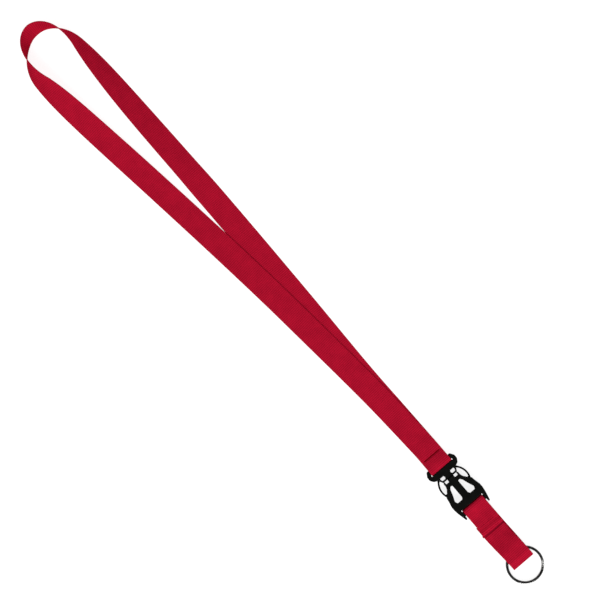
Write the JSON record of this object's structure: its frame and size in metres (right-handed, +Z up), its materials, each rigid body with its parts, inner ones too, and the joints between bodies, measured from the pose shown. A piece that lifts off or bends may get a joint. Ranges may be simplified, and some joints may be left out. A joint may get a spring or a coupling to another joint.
{
  "type": "neck lanyard",
  "caption": "Flat webbing neck lanyard with a side-release buckle, a short detachable key strap and a split ring, lying flat",
  "frame": {"origin": "middle of the lanyard's box as it lies, on the surface it lies on", "axes": "+Y runs from the ring to the crown of the neck loop, +Z up from the surface, +X across the straps"},
  "size_m": [0.0602, 0.5604, 0.019],
  "materials": {
    "webbing": "ribbed polyester webbing, satin",
    "thread": "polyester sewing thread",
    "buckle_plastic": "moulded acetal, semi-gloss",
    "ring_steel": "nickel-plated spring steel"
  },
  "bodies": {
    "neck_loop": {"neck_strap": "webbing", "neck_seam": "thread"},
    "plug": {"buckle_plug": "buckle_plastic"},
    "left_arm": {"left_prong": "buckle_plastic"},
    "right_arm": {"right_prong": "buckle_plastic"},
    "socket": {"buckle_socket": "buckle_plastic"},
    "key_loop": {"key_strap": "webbing", "key_seam": "thread"},
    "ring": {"split_ring": "ring_steel"}
  },
  "joints": [
    {"name": "plug_hinge", "type": "hinge", "parent": "neck_loop", "child": "plug", "pos_m": [0.01578, -0.16803, 0.0035], "axis": [1, 0, 0], "range_deg": [-90, 90]},
    {"name": "left_squeeze", "type": "hinge", "parent": "plug", "child": "left_arm", "pos_m": [0.00713, -0.17691, 0.0035], "axis": [0, 0, 1], "range_deg": [0, 5], "stiffness_Nm_per_rad": 0.4},
    {"name": "right_squeeze", "type": "hinge", "parent": "plug", "child": "right_arm", "pos_m": [0.02443, -0.17691, 0.0035], "axis": [0, 0, -1], "range_deg": [0, 5], "stiffness_Nm_per_rad": 0.4},
    {"name": "release_slide", "type": "slide", "parent": "plug", "child": "socket", "axis": [0, -1, 0], "range_m": [0, 0.034], "deforming": ["left_prong", "right_prong"]},
    {"name": "key_hinge", "type": "hinge", "parent": "socket", "child": "key_loop", "pos_m": [0.01578, -0.20763, 0.0035], "axis": [1, 0, 0], "range_deg": [-90, 90]},
    {"name": "ring_spin", "type": "hinge", "parent": "key_loop", "child": "ring", "pos_m": [0.01578, -0.26583, 0.00215], "axis": [0, -0.0523, 0.9986], "continuous": true}
  ]
}
